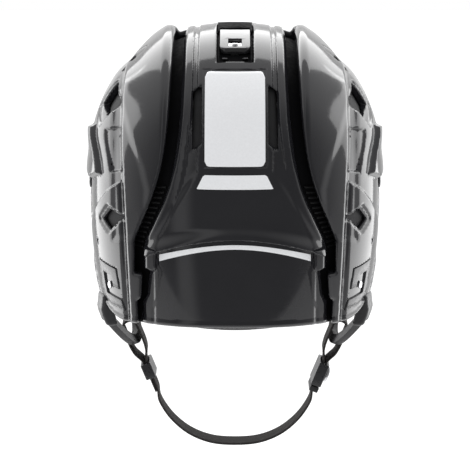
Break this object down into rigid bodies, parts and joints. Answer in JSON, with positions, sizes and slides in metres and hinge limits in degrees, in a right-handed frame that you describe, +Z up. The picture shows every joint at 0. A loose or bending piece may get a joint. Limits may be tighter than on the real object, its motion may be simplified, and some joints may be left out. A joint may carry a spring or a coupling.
{
  "type": "ice hockey helmet",
  "caption": "Two-shell ice hockey helmet with a sliding size adjustment, crown latch, foam liners, clear ear guards and a chin strap on flexible ear loops.",
  "frame": {"origin": "middle of the head opening, level with the rear shell's lower edge at the back", "axes": "+Z up, the face opening towards -Y, the back of the head towards +Y, X = 0 the middle plane, the wearer's left at +X"},
  "size_m": [0.2162, 0.2605, 0.3124],
  "materials": {
    "shell": "gloss black moulded plastic",
    "liner": "matt closed-cell foam",
    "pad": "brushed comfort foam",
    "clear": "clear moulded plastic",
    "latch": "satin black plastic",
    "steel": "plated steel",
    "dark_steel": "black zinc",
    "webbing": "woven dark grey webbing",
    "loop": "ribbed dark grey rubber",
    "white": "white reflective film"
  },
  "bodies": {
    "front": {"cage_hook_left": "latch", "cage_hook_right": "latch", "cage_nuts": "steel", "cage_studs": "steel", "crown_liner": "liner", "crown_pad": "pad", "ear_guard_left": "clear", "ear_guard_right": "clear", "ear_loop_left": "loop", "ear_loop_right": "loop", "forehead_pad": "pad", "front_liner": "liner", "front_shell": "shell", "loop_anchor_left": "latch", "loop_anchor_right": "latch", "loop_clip_left": "latch", "loop_clip_right": "latch", "shell_nuts": "steel", "shell_screws": "dark_steel", "side_liner_left": "liner", "side_liner_right": "liner", "size_rack": "latch", "temple_pad_left": "pad", "temple_pad_right": "pad"},
    "rear": {"rear_shell": "shell", "rear_liner": "liner", "occipital_cradle": "latch", "occipital_pad": "pad", "latch_base": "latch", "latch_pin": "steel", "latch_screws": "dark_steel", "label_panel": "white", "upper_stripe": "white", "lower_stripe": "white"},
    "lever": {"latch_lever": "latch", "latch_catch": "steel"},
    "strap": {"chin_strap": "webbing", "strap_slider": "latch", "strap_snap_housing": "latch", "strap_keeper": "loop", "strap_snap_cap": "steel"}
  },
  "joints": [
    {"name": "size_slide", "type": "slide", "parent": "front", "child": "rear", "axis": [0, 1, 0], "range_m": [0, 0.012]},
    {"name": "latch_flip", "type": "hinge", "parent": "rear", "child": "lever", "pos_m": [0, 0.013, 0.18195], "axis": [1, 0, 0], "range_deg": [0, 80]},
    {"name": "strap_swing", "type": "hinge", "parent": "front", "child": "strap", "pos_m": [0, 0.01, -0.046], "axis": [1, 0, 0], "range_deg": [-20, 10]}
  ]
}
